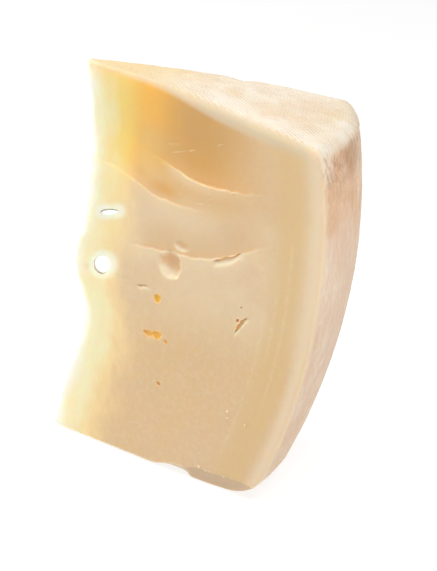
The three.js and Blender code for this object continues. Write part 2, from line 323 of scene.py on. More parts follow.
def cloth_print(along, across, seed):
    warp = 0.28 * noise(along / 9.0, across / 9.0, seed)
    main = (along * math.sin(-CLOTH_ANGLE) + across * math.cos(CLOTH_ANGLE)) / CLOTH_PITCH + warp
    cross = (along * math.cos(CLOTH_ANGLE) - across * math.sin(-CLOTH_ANGLE)) / (CLOTH_PITCH * CROSS_PITCH)
    cross = cross + warp
    thread = 0.5 + 0.5 * np.cos(2 * math.pi * main)
    knots = 0.62 + 0.38 * np.cos(2 * math.pi * cross)
    return thread * knots


def top_relief(points):
    x, y = points[:, 0], points[:, 1]
    worn = smooth(-0.5, 0.5, noise(x / 8.0, y / 8.0, 3) + 0.35)
    crust = 0.06 * (1.0 + noise(x / 1.1, y / 1.1, 4)) + 0.05 * (1.0 + noise(x / 4.0, y / 4.0, 5))
    return CLOTH_DEPTH * (0.35 + 0.65 * worn) * cloth_print(x, y, 6) + crust - 0.14


def rim_relief(points):
    around = np.arctan2(points[:, 1], points[:, 0]) * RIM_RADIUS
    z = points[:, 2]
    streaks = 0.04 * (1.0 + noise(around / 1.9, z / 5.0, 7)) + 0.1 * (1.0 + noise(around / 5.5, z / 8.0, 8))
    crust = 0.05 * (1.0 + noise(around / 1.4, z / 1.6, 9))
    near_top = smooth(80.0, 98.0, z)
    pits = smooth(0.3, 0.7, noise(around / 1.9, z / 2.6, 10)) * 0.4 * near_top
    wrinkles = 0.12 * near_top * (1.0 + noise(around / 1.3, z / 4.5, 11))
    return streaks + crust + pits + wrinkles - 0.45


def bowl_depth(u, z):
    """Shallow eyes, steep at the upper right and rising gently to the lower left."""
    depth = 0.0
    for centre_u, centre_z, half_width, half_height, deep in BOWLS:
        right, up = (u - centre_u) / half_width, (z - centre_z) / half_height
        uneven = 1.0 + 0.05 * np.sin(2.1 * (u - centre_u)) + 0.04 * np.sin(2.6 * (z - centre_z))
        place = np.hypot(right, up) * uneven
        inner = np.sqrt(np.maximum(1.0 - np.minimum(place, 0.96) ** 2, 0.0))
        steep = np.clip(0.75 + 0.3 * (0.5 * right + 0.85 * up), 0.3, 1.2)
        depth = np.maximum(depth, deep * steep * inner * (1.0 - smooth(0.93, 1.1, place)))
    return depth


def slit_lean(u, z):
    """The cheese leans in a little below each slit, as a lip that catches the light."""
    depth = 0.0
    for line, half_height, _, _ in SLITS:
        places, heights = np.array(line).T
        below = np.interp(u, places, heights) - half_height * 0.6 - z
        along = smooth(places[0] - 1.5, places[0] + 1.5, u)
        along *= 1.0 - smooth(places[-1] - 1.0, places[-1] + 2.5, u)
        lean = 0.5 * half_height * np.exp(-np.maximum(below, 0.0) / 0.9) * smooth(-1.2, 0.0, below)
        depth = np.maximum(depth, lean * along)
    return depth


def front_relief(points):
    u, _ = cut_place(points, -1)
    z = points[:, 2]
    lips = sum(lip_depth(shaving, u, z) for shaving in (LEFT_SHAVING, RIGHT_SHAVING, CREASE))
    inset = rim_radius(z) - u
    streaks = 0.10 * bump(inset, 16.0, 0.6) * smooth(8, 14, z) * (1 - smooth(56, 66, z))
    streaks += 0.08 * bump(inset, 9.5, 0.6) * smooth(26, 34, z) * (1 - smooth(80, 90, z))
    streaks *= 0.6 + 0.4 * noise(z / 1.3, u * 0.0, 13)
    drag = 0.035 * (1.0 + noise(u / 1.4, z / 26.0, 14)) + 0.05 * (1.0 + noise(u / 6.0, z / 10.0, 15))
    grain = 0.018 * (1.0 + noise(u / 0.8, z / 0.8, 16))
    faint = 0.12 * bump(z - 57.0 - 0.04 * (u - 20.0), 0.0, 0.5) * smooth(14, 17, u) * (1 - smooth(24, 28, u))
    return lips + streaks + drag + grain + faint + bowl_depth(u, z) + slit_lean(u, z)


def back_relief(points):
    u, _ = cut_place(points, 1)
    z = points[:, 2]
    drag = 0.06 * (1.0 + noise(u / 18.0, z / 1.6, 17)) + 0.05 * (1.0 + noise(u / 7.0, z / 7.0, 18))
    return drag + 0.02 * (1.0 + noise(u / 1.0, z / 1.0, 19))


def relief(points, normal):
    """Depth of the fine relief; each face's own relief fades out round its edges."""
    cos, sin = math.cos(HALF_ANGLE), math.sin(HALF_ANGLE)
    facing_front = smooth(0.45, 0.9, normal @ np.array([sin, cos, 0.0]))
    facing_back = smooth(0.45, 0.9, normal @ np.array([sin, -cos, 0.0]))
    facing_top = smooth(0.55, 0.95, -normal[:, 2])
    around = points[:, :2] / np.maximum(np.hypot(points[:, 0], points[:, 1]), 1.0)[:, None]
    facing_rim = smooth(0.45, 0.9, -(normal[:, :2] * around).sum(axis=1)) * smooth(20.0, 30.0, points[:, 0])
    depth = facing_front * front_relief(points)
    depth += facing_back * back_relief(points)
    depth += facing_top * top_relief(points)
    depth += facing_rim * rim_relief(points)
    return depth


# Closed grid over the wedge: six patches joined by narrow strips

PATCH_STEPS = {
    (1, 0): (236, 172),
    (1, 1): (112, 84),
    (2, 1): (140, 128),
    (2, 0): (60, 44),
    (0, 1): (92, 152),
    (0, 0): (12, 196),
}
PATCH_INSET = (0.004, 0.006, 0.003)

# Closer rows and columns on the shaved cut where its eyes and knife lines are: from, to, how much closer
CROWDED = {(1, 0, 2): (0.44, 0.86, 2.0), (1, 0, 0): (0.26, 0.76, 1.5)}


def wedge_points(params):
    """Points of the sharp-edged wedge: from tip to rim, from shaved cut to plain cut, from foot to top."""
    rough_height = BASE + params[:, 2] * 113.0
    start = tip_distance(rough_height)
    r = start + params[:, 0] * (rim_radius(rough_height) - start)
    angle = (2.0 * params[:, 1] - 1.0) * HALF_ANGLE
    z = BASE + params[:, 2] * (top_height(r) - BASE)
    return np.stack([r * np.cos(angle), r * np.sin(angle), z], axis=1)


def crowded(even, low, high, factor):
    """Even steps from 0 to 1 made closer between two places."""
    spots = np.linspace(0.0, 1.0, 801)
    near = smooth(low - 0.06, low + 0.02, spots) * (1.0 - smooth(high - 0.02, high + 0.06, spots))
    density = 1.0 + (factor - 1.0) * near
    share = np.concatenate([[0.0], np.cumsum((density[1:] + density[:-1]) / 2.0)])
    return np.interp(even, share / share[-1], spots)


def patch_params(axis, side, steps):
    """Grid of one face of the unit cube, rows along the first free axis and columns along the second."""
    first, second = (axis + 1) % 3, (axis + 2) % 3
    lines = []
    for free, count in ((first, steps[0]), (second, steps[1])):
        even = np.linspace(0.0, 1.0, count)
        if (axis, side, free) in CROWDED:
            even = crowded(even, *CROWDED[(axis, side, free)])
        lines.append(PATCH_INSET[free] + even * (1.0 - 2.0 * PATCH_INSET[free]))
    grid = np.zeros((steps[0], steps[1], 3))
    grid[:, :, axis] = side
    grid[:, :, first] = lines[0][:, None]
    grid[:, :, second] = lines[1][None, :]
    return grid


def patch_quads(index):
    corners = [index[:-1, :-1], index[1:, :-1], index[1:, 1:], index[:-1, 1:]]
    return np.stack([corner.ravel() for corner in corners], axis=1).tolist()


def patch_border(patch, axis, other, other_side):
    """Vertices of a patch along its edge with another face, with their places along that edge."""
    free = [(axis + 1) % 3, (axis + 2) % 3]
    place = 0 if other_side == 0 else -1
    if free[0] == other:
        return patch["index"][place, :], patch["params"][place, :, free[1]]
    return patch["index"][:, place], patch["params"][:, place, free[0]]


def strip_triangles(first, second):
    """Triangles between two rows of vertices of unlike number."""
    (a, at_a), (b, at_b) = first, second
    triangles = []
    i = j = 0
    while i < len(a) - 1 or j < len(b) - 1:
        step_a = j == len(b) - 1 or (i < len(a) - 1 and at_a[i + 1] <= at_b[j + 1])
        if step_a:
            triangles.append((int(a[i]), int(a[i + 1]), int(b[j])))
            i += 1
        else:
            triangles.append((int(a[i]), int(b[j + 1]), int(b[j])))
            j += 1
    return triangles


def closed_grid():
    patches = {}
    count = 0
    faces = []
    for (axis, side), steps in PATCH_STEPS.items():
        params = patch_params(axis, side, steps)
        index = count + np.arange(steps[0] * steps[1]).reshape(steps)
        patches[(axis, side)] = {"params": params, "index": index}
        faces += patch_quads(index)
        count += steps[0] * steps[1]
    for axis in range(3):
        other = (axis + 1) % 3
        for side in (0, 1):
            for other_side in (0, 1):
                first = patch_border(patches[(axis, side)], axis, other, other_side)
                second = patch_border(patches[(other, other_side)], other, axis, side)
                faces += strip_triangles(first, second)
    for a in (0, 1):
        for b in (0, 1):
            for c in (0, 1):
                ends = (-a, -b, -c)
                faces.append((
                    int(patches[(0, a)]["index"][ends[1], ends[2]]),
                    int(patches[(1, b)]["index"][ends[2], ends[0]]),
                    int(patches[(2, c)]["index"][ends[0], ends[1]]),
                ))
    params = np.concatenate([patch["params"].reshape(-1, 3) for patch in patches.values()])
    return params, faces


def settle(points):
    """Move points onto the smooth shape, then press the fine relief into it."""
    for _ in range(9):
        slope = inward(points)
        distance = wedge_inside(points)
        size = np.maximum((slope ** 2).sum(axis=1), 0.25)
        move = -(distance / size)[:, None] * slope
        length = np.linalg.norm(move, axis=1, keepdims=True)
        points = points + move * np.minimum(1.0, 1.5 / np.maximum(length, 1e-9))
    slope = inward(points)
    normal = slope / np.maximum(np.linalg.norm(slope, axis=1, keepdims=True), 1e-9)
    return points + normal * relief(points, normal)[:, None]


def to_frame(points):
    return (points + WHEEL_AXIS) * MM


def new_object(name, vertices, faces):
    mesh = bpy.data.meshes.new(name)
    mesh.from_pydata(vertices.tolist(), [], faces)
    mesh.update()
    piece = bpy.data.objects.new(name, mesh)
    bpy.context.scene.collection.objects.link(piece)
    return piece


def turn_faces_out(piece):
    work = bmesh.new()
    work.from_mesh(piece.data)
    bmesh.ops.recalc_face_normals(work, faces=work.faces)
    work.to_mesh(piece.data)
    work.free()


# Eyes and slits

def lump_rows(detail):
    work = bmesh.new()
    bmesh.ops.create_icosphere(work, subdivisions=detail, radius=1.0)
    vertices = np.array([vertex.co[:] for vertex in work.verts])
    faces = [[vertex.index for vertex in face.verts] for face in work.faces]
    work.free()
    return vertices, faces


def lump(centre, radii, basis, detail, unevenness):
    """Rounded lump with an uneven skin, in the wheel's coordinates."""
    vertices, faces = lump_rows(detail)
    waves = np.sin(3.1 * vertices[:, 0] + centre[0]) + np.sin(2.7 * vertices[:, 1] + centre[2])
    waves += np.sin(3.7 * vertices[:, 2] + centre[1])
    waves += 0.8 * np.sin(7.3 * vertices[:, 0] + 5.1 * vertices[:, 2])
    shaped = vertices * (1.0 + unevenness * 0.3 * waves)[:, None] * np.array(radii)
    return shaped @ np.array(basis) + centre, faces


def cut_basis(side, tilt):
    """Rows: along the cut turned by the tilt, into the cheese, up."""
    along = cut_point(math.cos(tilt), math.sin(tilt), 0.0, side)
    into = cut_point(0.0, 0.0, 1.0, side)
    return [along, into, np.cross(along, into)]


def surface_depth(side, u, z):
    """Depth of the finished cut behind its plane."""
    depth = 0.0
    place = front_inside if side < 0 else back_inside
    for _ in range(4):
        point = cut_point(u, z, depth, side)[None, :]
        depth -= float(place(point)[0])
    return depth + float((front_relief if side < 0 else back_relief)(point)[0])


def eye(side, u, z, half_width, half_height, depth, tilt=0.0, detail=4, unevenness=0.06):
    centre = cut_point(u, z, surface_depth(side, u, z) + depth * 0.12, side)
    radii = (half_width * 1.04, depth, half_height * 1.04)
    return lump(centre, radii, cut_basis(side, math.radians(tilt)), detail, unevenness)


def slit(side, line, half_height, depth, seed):
    """Torn slit along a line of the cut, closing as it goes in."""
    places, heights = np.array(line).T
    count = 28
    t = np.linspace(0.0, 1.0, count)
    u = np.interp(t, np.linspace(0.0, 1.0, len(places)), places)
    z = np.interp(t, np.linspace(0.0, 1.0, len(places)), heights)
    slope = np.gradient(z) / np.maximum(np.abs(np.gradient(u)), 1e-6)
    across_u = -slope / np.hypot(1.0, slope)
    across_z = 1.0 / np.hypot(1.0, slope)
    taper = np.sin(math.pi * np.clip(t, 0.03, 0.97)) ** 0.7
    above = half_height * taper * (0.75 + 0.4 * noise(t * 8.0, t * 0.0, seed))
    under = half_height * taper * (0.85 + 0.5 * noise(t * 6.0, t * 0.0 + 9.5, seed))
    surface = [surface_depth(side, a, b) for a, b in zip(u, z)]
    vertices = []
    for level, width in ((-0.9, 1.2), (0.05, 1.0), (depth * 0.5, 0.6), (depth, 0.12)):
        for edge in (above * width, -under * width):
            for i in range(count):
                lift = edge[i] + 0.7 * above[i] * max(level, 0.0) / depth
                place = (u[i] + across_u[i] * lift, z[i] + across_z[i] * lift)
                vertices.append(cut_point(*place, surface[i] + level, side))
    faces = []
    for i in range(count - 1):
        for level in range(3):
            low, high = 2 * count * level, 2 * count * (level + 1)
            faces.append([low + i, low + i + 1, high + i + 1, high + i])
            faces.append([low + count + i + 1, low + count + i, high + count + i, high + count + i + 1])
        for low in (0, 6 * count):
            faces.append([low + i, low + i + 1, low + count + i + 1, low + count + i])
    for level in range(3):
        for i in (0, count - 1):
            low, high = 2 * count * level, 2 * count * (level + 1)
            faces.append([low + i, low + count + i, high + count + i, high + i])
    return np.array(vertices), faces


def pierced_basis(u, z, tilt):
    """Middle of a pierced eye and its directions: along its width, through the cheese and across both."""
    into = PIERCE_DIRECTION / np.linalg.norm(PIERCE_DIRECTION)
    level = -np.cross([0.0, 0.0, 1.0], into)
    level /= np.linalg.norm(level)
    up = np.cross(level, into)
    angle = math.radians(tilt)
    along = level * math.cos(angle) + up * math.sin(angle)
    middle = cut_point(u, z, 0.0, -1) + into * u * 0.33
    return middle, [along, into, np.cross(along, into)]


def pierced_eye(u, z, half_width, half_height, tilt):
    middle, basis = pierced_basis(u, z, tilt)
    return lump(middle, (half_width, u * 0.6, half_height), basis, 4, 0.05)


def shaved_eyes():
    eyes = [pierced_eye(*shape) for shape in PIERCED_EYES]
    eyes += [
        eye(-1, 38.0, 27.0, 0.7, 0.7, 0.8, detail=3),
        eye(-1, 64.5, 59.7, 0.35, 0.35, 0.6, detail=3),
        eye(-1, 63.6, 55.4, 0.55, 0.6, 0.8, detail=3, unevenness=0.2),
    ]
    eyes += [eye(-1, u, z, width, height, 0.5, tilt, 3, 0.2) for u, z, width, height, tilt, _ in SMALL_EYES]
    return eyes + [slit(-1, *shape) for shape in SLITS]


def plain_eyes():
    return [
        eye(1, 58.5, 78.0, 3.4, 3.2, 2.4),
        eye(1, 34.0, 92.0, 2.6, 2.3, 1.9, 20.0),
        eye(1, 46.0, 41.0, 2.9, 3.0, 2.2),
        eye(1, 69.0, 47.0, 1.6, 1.5, 1.3),
        eye(1, 30.0, 63.0, 1.4, 1.3, 1.2),
        eye(1, 26.0, 24.0, 2.1, 1.7, 1.5, -15.0),
        slit(1, ((50.0, 61.0), (52.5, 60.6), (54.8, 59.1), (57.0, 58.4)), 0.9, 1.0, 34),
    ]


def cut_eyes(piece, lumps):
    """Take every lump out of the piece in one cut."""
    tools = bpy.data.collections.new("eye_tools")
    bpy.context.scene.collection.children.link(tools)
    for number, (vertices, faces) in enumerate(lumps):
        tool = new_object(f"eye_tool_{number}", to_frame(vertices), faces)
        bpy.context.scene.collection.objects.unlink(tool)
        tools.objects.link(tool)
        turn_faces_out(tool)
    cut = piece.modifiers.new("eyes", "BOOLEAN")
    cut.operation = "DIFFERENCE"
    cut.operand_type = "COLLECTION"
    cut.collection = tools
    cut.solver = "MANIFOLD"
    apply_modifiers(piece)
    for tool in list(tools.objects):
        bpy.data.objects.remove(tool, do_unlink=True)
    bpy.data.collections.remove(tools)


def apply_modifiers(piece):
    depsgraph = bpy.context.evaluated_depsgraph_get()
    finished = bpy.data.meshes.new_from_object(piece.evaluated_get(depsgraph))
    piece.modifiers.clear()
    old = piece.data
    piece.data = finished
    bpy.data.meshes.remove(old)


# Places on the finished surface that the materials read

def write_values(mesh, name, values):
    attribute = mesh.attributes.new(name, "FLOAT", "POINT")
    attribute.data.foreach_set("value", np.ascontiguousarray(values, dtype=np.float32))


def lip_values(u, z):
    """Painted highlight on the lower edge of each slit and shallow eye, where it faces up to the light, and
    painted shade in the upper part of each eye.
    """
    lip = shade = 0.0
    for line, half_height, _, _ in SLITS:
        places, heights = np.array(line).T
        within = smooth(places[0] - 0.8, places[0] + 0.8, u)
        within = within * (1.0 - smooth(places[-1] - 0.6, places[-1] + 1.6, u))
        above = z - np.interp(u, places, heights)
        lip = np.maximum(lip, within * bump(above, -1.35 * half_height, 0.7 * half_height))
    for centre_u, centre_z, half_width, half_height, deep in BOWLS:
        right, up = (u - centre_u) / half_width, (z - centre_z) / half_height
        place = np.hypot(right, up)
        low = smooth(0.1, -0.7, 0.3 * right + 0.95 * up)
        lip = np.maximum(lip, low * smooth(0.2, 0.6, place) * (1.0 - smooth(1.0, 1.25, place)))
        shade = np.maximum(shade, (1.0 - smooth(0.8, 1.02, place)) * (1.0 - low) * min(1.0, deep / 1.5))
    return lip, shade


def halo_values(points):
    """White ring round each pierced eye and down its wall, where the thin cheese lets light through."""
    halo = 0.0
    for u, z, half_width, half_height, tilt in PIERCED_EYES:
        middle, (along, _, across) = pierced_basis(u, z, tilt)
        offset = points - middle
        beside = np.maximum(np.abs(offset @ along) - max(half_width - half_height, 0.0), 0.0)
        beyond = np.hypot(beside, offset @ across) - min(half_width, half_height)
        halo = np.maximum(halo, 1.0 - smooth(0.1, 2.3, beyond))
    return halo


def painted_hollow_shade_values(u, z):
    """Painted shade, saturated by light scattered through the cheese, where the hollows run out above the
    left knife line.
    """
    first = bump(u, 27.0, 4.0) * bump(z, 90.4 - 0.5 * (u - 27.0), 2.0)
    second = bump(u, 34.8, 5.6) * bump(z, 87.6 - 0.12 * (u - 35.0), 2.1)
    return np.maximum(0.35 * first, second)


def painted_eye_glow_values(u, z, level):
    """Painted glow, deep yellow, of light scattered into the small eyes."""
    painted_eye_glow = 0.0
    for centre_u, centre_z, half_width, half_height, _, strength in SMALL_EYES:
        place = np.hypot((u - centre_u) / half_width, (z - centre_z) / half_height)
        inside = strength * (1.0 - smooth(1.0, 1.5, place)) * smooth(0.0, 0.3, level)
        painted_eye_glow = np.maximum(painted_eye_glow, inside)
    return painted_eye_glow


def rind_values(points, front, below_top):
    """Patches of the rind that are darker, redder or floured."""
    x, y, z = points.T
    u, _ = cut_place(points, -1)
    angle = np.degrees(np.arctan2(y, x))
    round_edge = smooth(96.0, 105.0, z) * smooth(0.2, 1.8, below_top)
    at_corner = smooth(98.0, 106.0, z) * (1.0 - smooth(114.0, 118.0, z))
    by_the_cut = smooth(0.3, 3.0, front) * (1.0 - smooth(4.0, 14.0, front))
    return {
        "rim_tan": bump(angle, -10.0, 7.5) * bump(z, 101.0, 13.0),
        "rim_shade": bump(angle, -4.5, 8.5) * round_edge,
        "rim_flour": bump(angle, -20.0, 4.0) * at_corner,
        "top_peach": bump(np.hypot(x, y), 72.0, 9.0) * smooth(-2.0, 12.0, angle),
        "top_flour": 0.65 * by_the_cut * smooth(28.0, 44.0, u),
    }


def foot_values(u, z, near_cut):
    return {
        "over_foot": z - foot_height(u),
        "reach_foot": near_cut * (0.3 * smooth(38.0, 42.0, u) + 0.7 * smooth(48.5, 51.5, u)),
        "foot_edge": near_cut * smooth(44.0, 47.0, u) * (1.0 - smooth(56.0, 66.0, u)),
    }


def knife_values(u, z, near_cut):
    values = {}
    for name, shaving in KNIFE_LINES.items():
        values["over_" + name] = z - line_height(shaving["line"], u)
        values["reach_" + name] = reach(shaving, u) * near_cut * smooth(*shaving["seen"], u)
    return values


def surface_values(piece):
    mesh = piece.data
    places = np.empty(len(mesh.vertices) * 3, dtype=np.float32)
    mesh.vertices.foreach_get("co", places)
    points = places.reshape(-1, 3).astype(float) / MM - WHEEL_AXIS
    x, y, z = points.T
    r = np.hypot(x, y)
    u, _ = cut_place(points, -1)
    below_top = np.maximum(top_height(r) - z, 0.0)
    front = front_inside(points)
    inside = np.minimum(front, back_inside(points))
    from_tip = np.maximum(x - tip_distance(z), 0.0)
    level = front - front_relief(points)
    within = smooth(1.2, 3.0, wheel_inside(points)) * smooth(9.0, 14.0, from_tip)
    lip, shade = lip_values(u, z)
    band = BAND_AT_TIP + BAND_GROWTH * smooth(*BAND_SPREAD, u)
    # Where the painted glow and painted shade under the top edge lie
    under_edge = smooth(-0.9, 1.5, below_top - band) * (1.0 - smooth(20.0, 38.0, below_top))
    under_edge *= smooth(1.5, 13.0, from_tip) * (1.0 - smooth(46.0, 80.0, u))
    near_cut = 1.0 - smooth(3.0, 9.0, front)
    values = {
        "rind": (1.0 - smooth(1.1, 2.0, wheel_inside(points))) * smooth(0.2, 2.6, inside),
        "from_rim": np.maximum(rim_radius(z) - r, 0.0),
        "below_top": below_top,
        "from_tip": from_tip,
        "along_cut": u,
        "height": z,
        "near_cut": near_cut,
        "under_edge": under_edge * near_cut,
        # Where painted light goes inside eyes and slits
        "deep": smooth(0.2, 0.6, np.minimum(level, inside)) * within,
        # Painted glow inside the small eyes
        "painted_eye_glow": painted_eye_glow_values(u, z, level) * near_cut,
        # Painted shade in the hollows above the left knife line
        "painted_hollow_shade": painted_hollow_shade_values(u, z) * near_cut,
        "halo": halo_values(points),
        # Painted highlight on the lower lips and painted shade in the upper part of slits and eyes
        "lip": lip * (1.0 - smooth(0.8, 2.0, front)),
        "shade": shade * near_cut,
    }
    values.update(rind_values(points, front, below_top))
    values.update(foot_values(u, z, near_cut))
    values.update(knife_values(u, z, near_cut))
    for name, value in values.items():
        write_values(mesh, name, value)


def finish_mesh(piece):
    mesh = piece.data
    mesh.polygons.foreach_set("use_smooth", np.ones(len(mesh.polygons), dtype=bool))
    mesh.set_sharp_from_angle(angle=math.radians(50.0))
    mesh.update()


# Node helpers

def put(node, values):
    for name, value in values.items():
        node.inputs[name].default_value = value


class Nodes:
    """Short calls for building one node material."""

    def __init__(self, name):
        self.material = bpy.data.materials.new(name)
        self.material.use_nodes = True
        self.tree = self.material.node_tree
        self.tree.nodes.clear()

    def add(self, kind, **settings):
        node = self.tree.nodes.new(kind)
        for key, value in settings.items():
            setattr(node, key, value)
        return node

    def finish(self, shader):
        output = self.add("ShaderNodeOutputMaterial")
        self.link(shader.outputs["BSDF"], output.inputs["Surface"])
        return self.material

    def link(self, source, target):
        self.tree.links.new(source, target)

    def feed(self, socket, value):
        if isinstance(value, bpy.types.NodeSocket):
            self.link(value, socket)
        else:
            socket.default_value = value

    def value(self, name):
        return self.add("ShaderNodeAttribute", attribute_name=name).outputs["Fac"]

    def pattern(self, node, mapped):
        """Texture laid over the object, turned or stretched as mapped."""
        mapping = self.add("ShaderNodeMapping")
        put(mapping, mapped)
        self.link(self.add("ShaderNodeTexCoord").outputs["Object"], mapping.inputs["Vector"])
        self.link(mapping.outputs["Vector"], node.inputs["Vector"])
        return node.outputs["Fac"]

    def noise(self, scale, detail=3.0, roughness=0.55, stretch=(1.0, 1.0, 1.0)):
        node = self.add("ShaderNodeTexNoise")
        put(node, {"Scale": scale, "Detail": detail, "Roughness": roughness})
        return self.pattern(node, {"Scale": stretch})

    def wave(self, pitch, angle, distortion):
        """Parallel bands along an angle of the floor plane, the pitch in millimetres."""
        node = self.add("ShaderNodeTexWave", bands_direction="X")
        scale = 2.0 * math.pi / 20.0 / (pitch * MM)
        put(node, {"Scale": scale, "Distortion": distortion, "Detail": 2.0, "Detail Scale": 0.35})
        return self.pattern(node, {"Rotation": (0.0, 0.0, -(angle + math.pi / 2.0))})

    def span(self, value, low, high, start=0.0, end=1.0):
        node = self.add("ShaderNodeMapRange", interpolation_type="SMOOTHSTEP")
        self.feed(node.inputs["Value"], value)
        put(node, {"From Min": low, "From Max": high, "To Min": start, "To Max": end})
        return node.outputs["Result"]

    def math(self, operation, first, second=0.0):
        node = self.add("ShaderNodeMath", operation=operation)
        self.feed(node.inputs[0], first)
        self.feed(node.inputs[1], second)
        return node.outputs["Value"]

    def times(self, first, second):
        return self.math("MULTIPLY", first, second)

    def most(self, first, second):
        return self.math("MAXIMUM", first, second)

    def mix(self, factor, first, second):
        node = self.add("ShaderNodeMix", data_type="RGBA", blend_type="MIX")
        self.feed(node.inputs["Factor"], factor)
        self.feed(node.inputs["A"], first)
        self.feed(node.inputs["B"], second)
        return node.outputs["Result"]

    def layer(self, base, share, strength, tone):
        """Lay a tone over the base where the share says, at a given strength."""
        return self.mix(self.times(share, strength), base, tone)


def colour(red, green, blue):
    """Colour from the usual 0 to 255 values."""
    def linear(value):
        value /= 255.0
        return value / 12.92 if value <= 0.04045 else ((value + 0.055) / 1.055) ** 2.4
    return (linear(red), linear(green), linear(blue), 1.0)


# Materials

PASTE = colour(230, 208, 172)
PASTE_LOW = colour(223, 192, 147)
PASTE_DEEP = colour(223, 194, 156)
BAND_PALE = colour(233, 214, 184)
BAND_YELLOW = colour(222, 191, 138)
BAND_TOP = colour(218, 202, 173)
# Painted glow of light shining through the thin tip and round the pierced eyes
PAINTED_TIP_GLOW = colour(255, 228, 168)
PAINTED_TIP_GLOW_PALE = colour(253, 239, 200)
PAINTED_GLOW_WHITE = colour(254, 249, 232)
# Painted glow of light through the cheese under the top edge, and painted shade (the tan) towards the rim
PAINTED_EDGE_GLOW_YELLOW = colour(253, 215, 118)
PAINTED_EDGE_GLOW_AMBER = colour(250, 192, 72)
PAINTED_EDGE_SHADE_TAN = colour(214, 165, 89)
PAINTED_EDGE_GLOW_SOFT = colour(234, 190, 110)
# Painted shade in the hollows above the left knife line, saturated by light scattered through the cheese
PAINTED_HOLLOW_SHADE = colour(222, 170, 98)
# Painted light: lighter colour inside eyes and slits, standing in for light scattered into them against
# their shade
PAINTED_CAVITY_LIGHT = colour(252, 212, 156)
# Pale colour of painted highlights on the lips of slits, eyes and knife lines, and of the pale scratches and
# the broken edge of the foot strip
PALE_MARKS_AND_HIGHLIGHT = colour(248, 234, 206)
# Painted light on the upward-facing strip below each knife line
PAINTED_LEDGE_LIGHT = colour(234, 214, 180)
# Painted shade above the crease
CREASE_PAINTED_SHADE = colour(219, 184, 136)
SHADE = colour(238, 184, 126)
# Painted glow of light scattered into the small eyes
PAINTED_EYE_GLOW = colour(255, 196, 80)
# Painted shade on the strip along the foot, which faces down
FOOT_PAINTED_SHADE = colour(206, 178, 146)
RIND_PALE = colour(236, 224, 204)
RIND_WHITE = colour(240, 231, 215)
RIND_CREAM = colour(233, 208, 160)
RIND_PEACH = colour(230, 204, 172)
RIND_YELLOW = colour(232, 204, 146)
RIND_GROOVE = colour(204, 164, 122)
RIM_PINK = colour(238, 206, 178)
RIM_PALE = colour(246, 224, 198)
RIM_TAN = colour(226, 178, 134)
RIM_RUST = colour(222, 168, 120)
RIM_BROWN = colour(178, 140, 110)

# How far light goes into the cheese, in metres, and how much of each colour
SCATTER_DEPTH = 0.0022
SCATTER_COLOURS = (1.0, 0.62, 0.3)
CRUMB_SCATTER_DEPTH = 0.001
CRUMB_SCATTER_COLOURS = (1.0, 0.55, 0.22)
CHEESE_IOR = 1.45
RIND_ROUGHNESS = 0.72
CRUMB_ROUGHNESS = 0.6
BUMP_HEIGHT = 0.00025


def knife_marks(nodes):
    """Painted highlight along each knife line, painted light on the upward-facing strip below it and painted
    shade above it.
    """
    edge = painted_ledge = painted_shade_above = 0.0
    for name, shaving in KNIFE_LINES.items():
        over = nodes.value("over_" + name)
        strength = nodes.times(nodes.value("reach_" + name), shaving["mark"])
        here = nodes.times(nodes.span(over, -0.75, -0.2), nodes.span(over, 0.15, -0.1))
        edge = nodes.most(nodes.times(here, strength), edge)
        here = nodes.times(nodes.span(over, -4.6, -0.6), nodes.span(over, 0.1, -0.1))
        painted_ledge = nodes.most(nodes.times(here, strength), painted_ledge)
        fade = nodes.span(over, 1.5 + 6.0 * shaving["lip"], 0.6)
        here = nodes.times(nodes.span(over, -0.05, 0.3), fade)
        painted_shade_above = nodes.most(nodes.times(here, strength), painted_shade_above)
    return edge, painted_ledge, painted_shade_above


def scratch_marks(nodes):
    u, z = nodes.value("along_cut"), nodes.value("height")
    marks = 0.0
    for (u0, z0), (u1, z1) in SCRATCHES:
        slope = (z1 - z0) / (u1 - u0)
        line = nodes.math("ADD", nodes.times(u, slope), z0 - slope * u0)
        off = nodes.math("ABSOLUTE", nodes.math("SUBTRACT", z, line))
        along = nodes.times(nodes.span(u, u0, u0 + 1.5), nodes.span(u, u1, u1 - 2.5))
        marks = nodes.most(nodes.times(nodes.span(off, 0.3, 0.1), along), marks)
    inset = nodes.value("from_rim")
    for place, low, high in ((16.0, 8.0, 66.0), (9.5, 26.0, 88.0), (12.7, 40.0, 74.0)):
        off = nodes.math("ABSOLUTE", nodes.math("SUBTRACT", inset, place))
        upper = nodes.span(z, high, high - 12.0, 0.0, 0.4)
        along = nodes.times(nodes.span(z, low, low + 12.0), upper)
        marks = nodes.most(nodes.times(nodes.span(off, 0.9, 0.2), along), marks)
    broken = nodes.span(nodes.noise(700.0, 3.0), 0.38, 0.6, 0.2, 1.0)
    return nodes.times(nodes.times(marks, nodes.value("near_cut")), broken)


def ground_colour(nodes, from_tip):
    """Tan below, paler above, with soft clouds, a yellow band inside the rim and a painted yellow glow of
    light through the thin tip.
    """
    base = nodes.mix(nodes.span(nodes.value("height"), 38.0, 62.0), PASTE_LOW, PASTE)
    base = nodes.mix(nodes.span(nodes.noise(34.0, 4.0, 0.6), 0.4, 0.7, 0.0, 0.8), base, PASTE_DEEP)
    base = nodes.mix(nodes.span(nodes.noise(620.0, 5.0, 0.65), 0.42, 0.75, 0.0, 0.35), base, BAND_PALE)
    inset = nodes.value("from_rim")
    yellow_band = nodes.times(nodes.span(inset, 3.0, 8.0), nodes.span(inset, 18.0, 11.0))
    base = nodes.layer(base, yellow_band, 0.7, BAND_YELLOW)
    # painted yellow glow of light through the thin tip
    return nodes.mix(nodes.span(from_tip, 24.0, 8.0, 0.0, 0.8), base, PAINTED_TIP_GLOW)


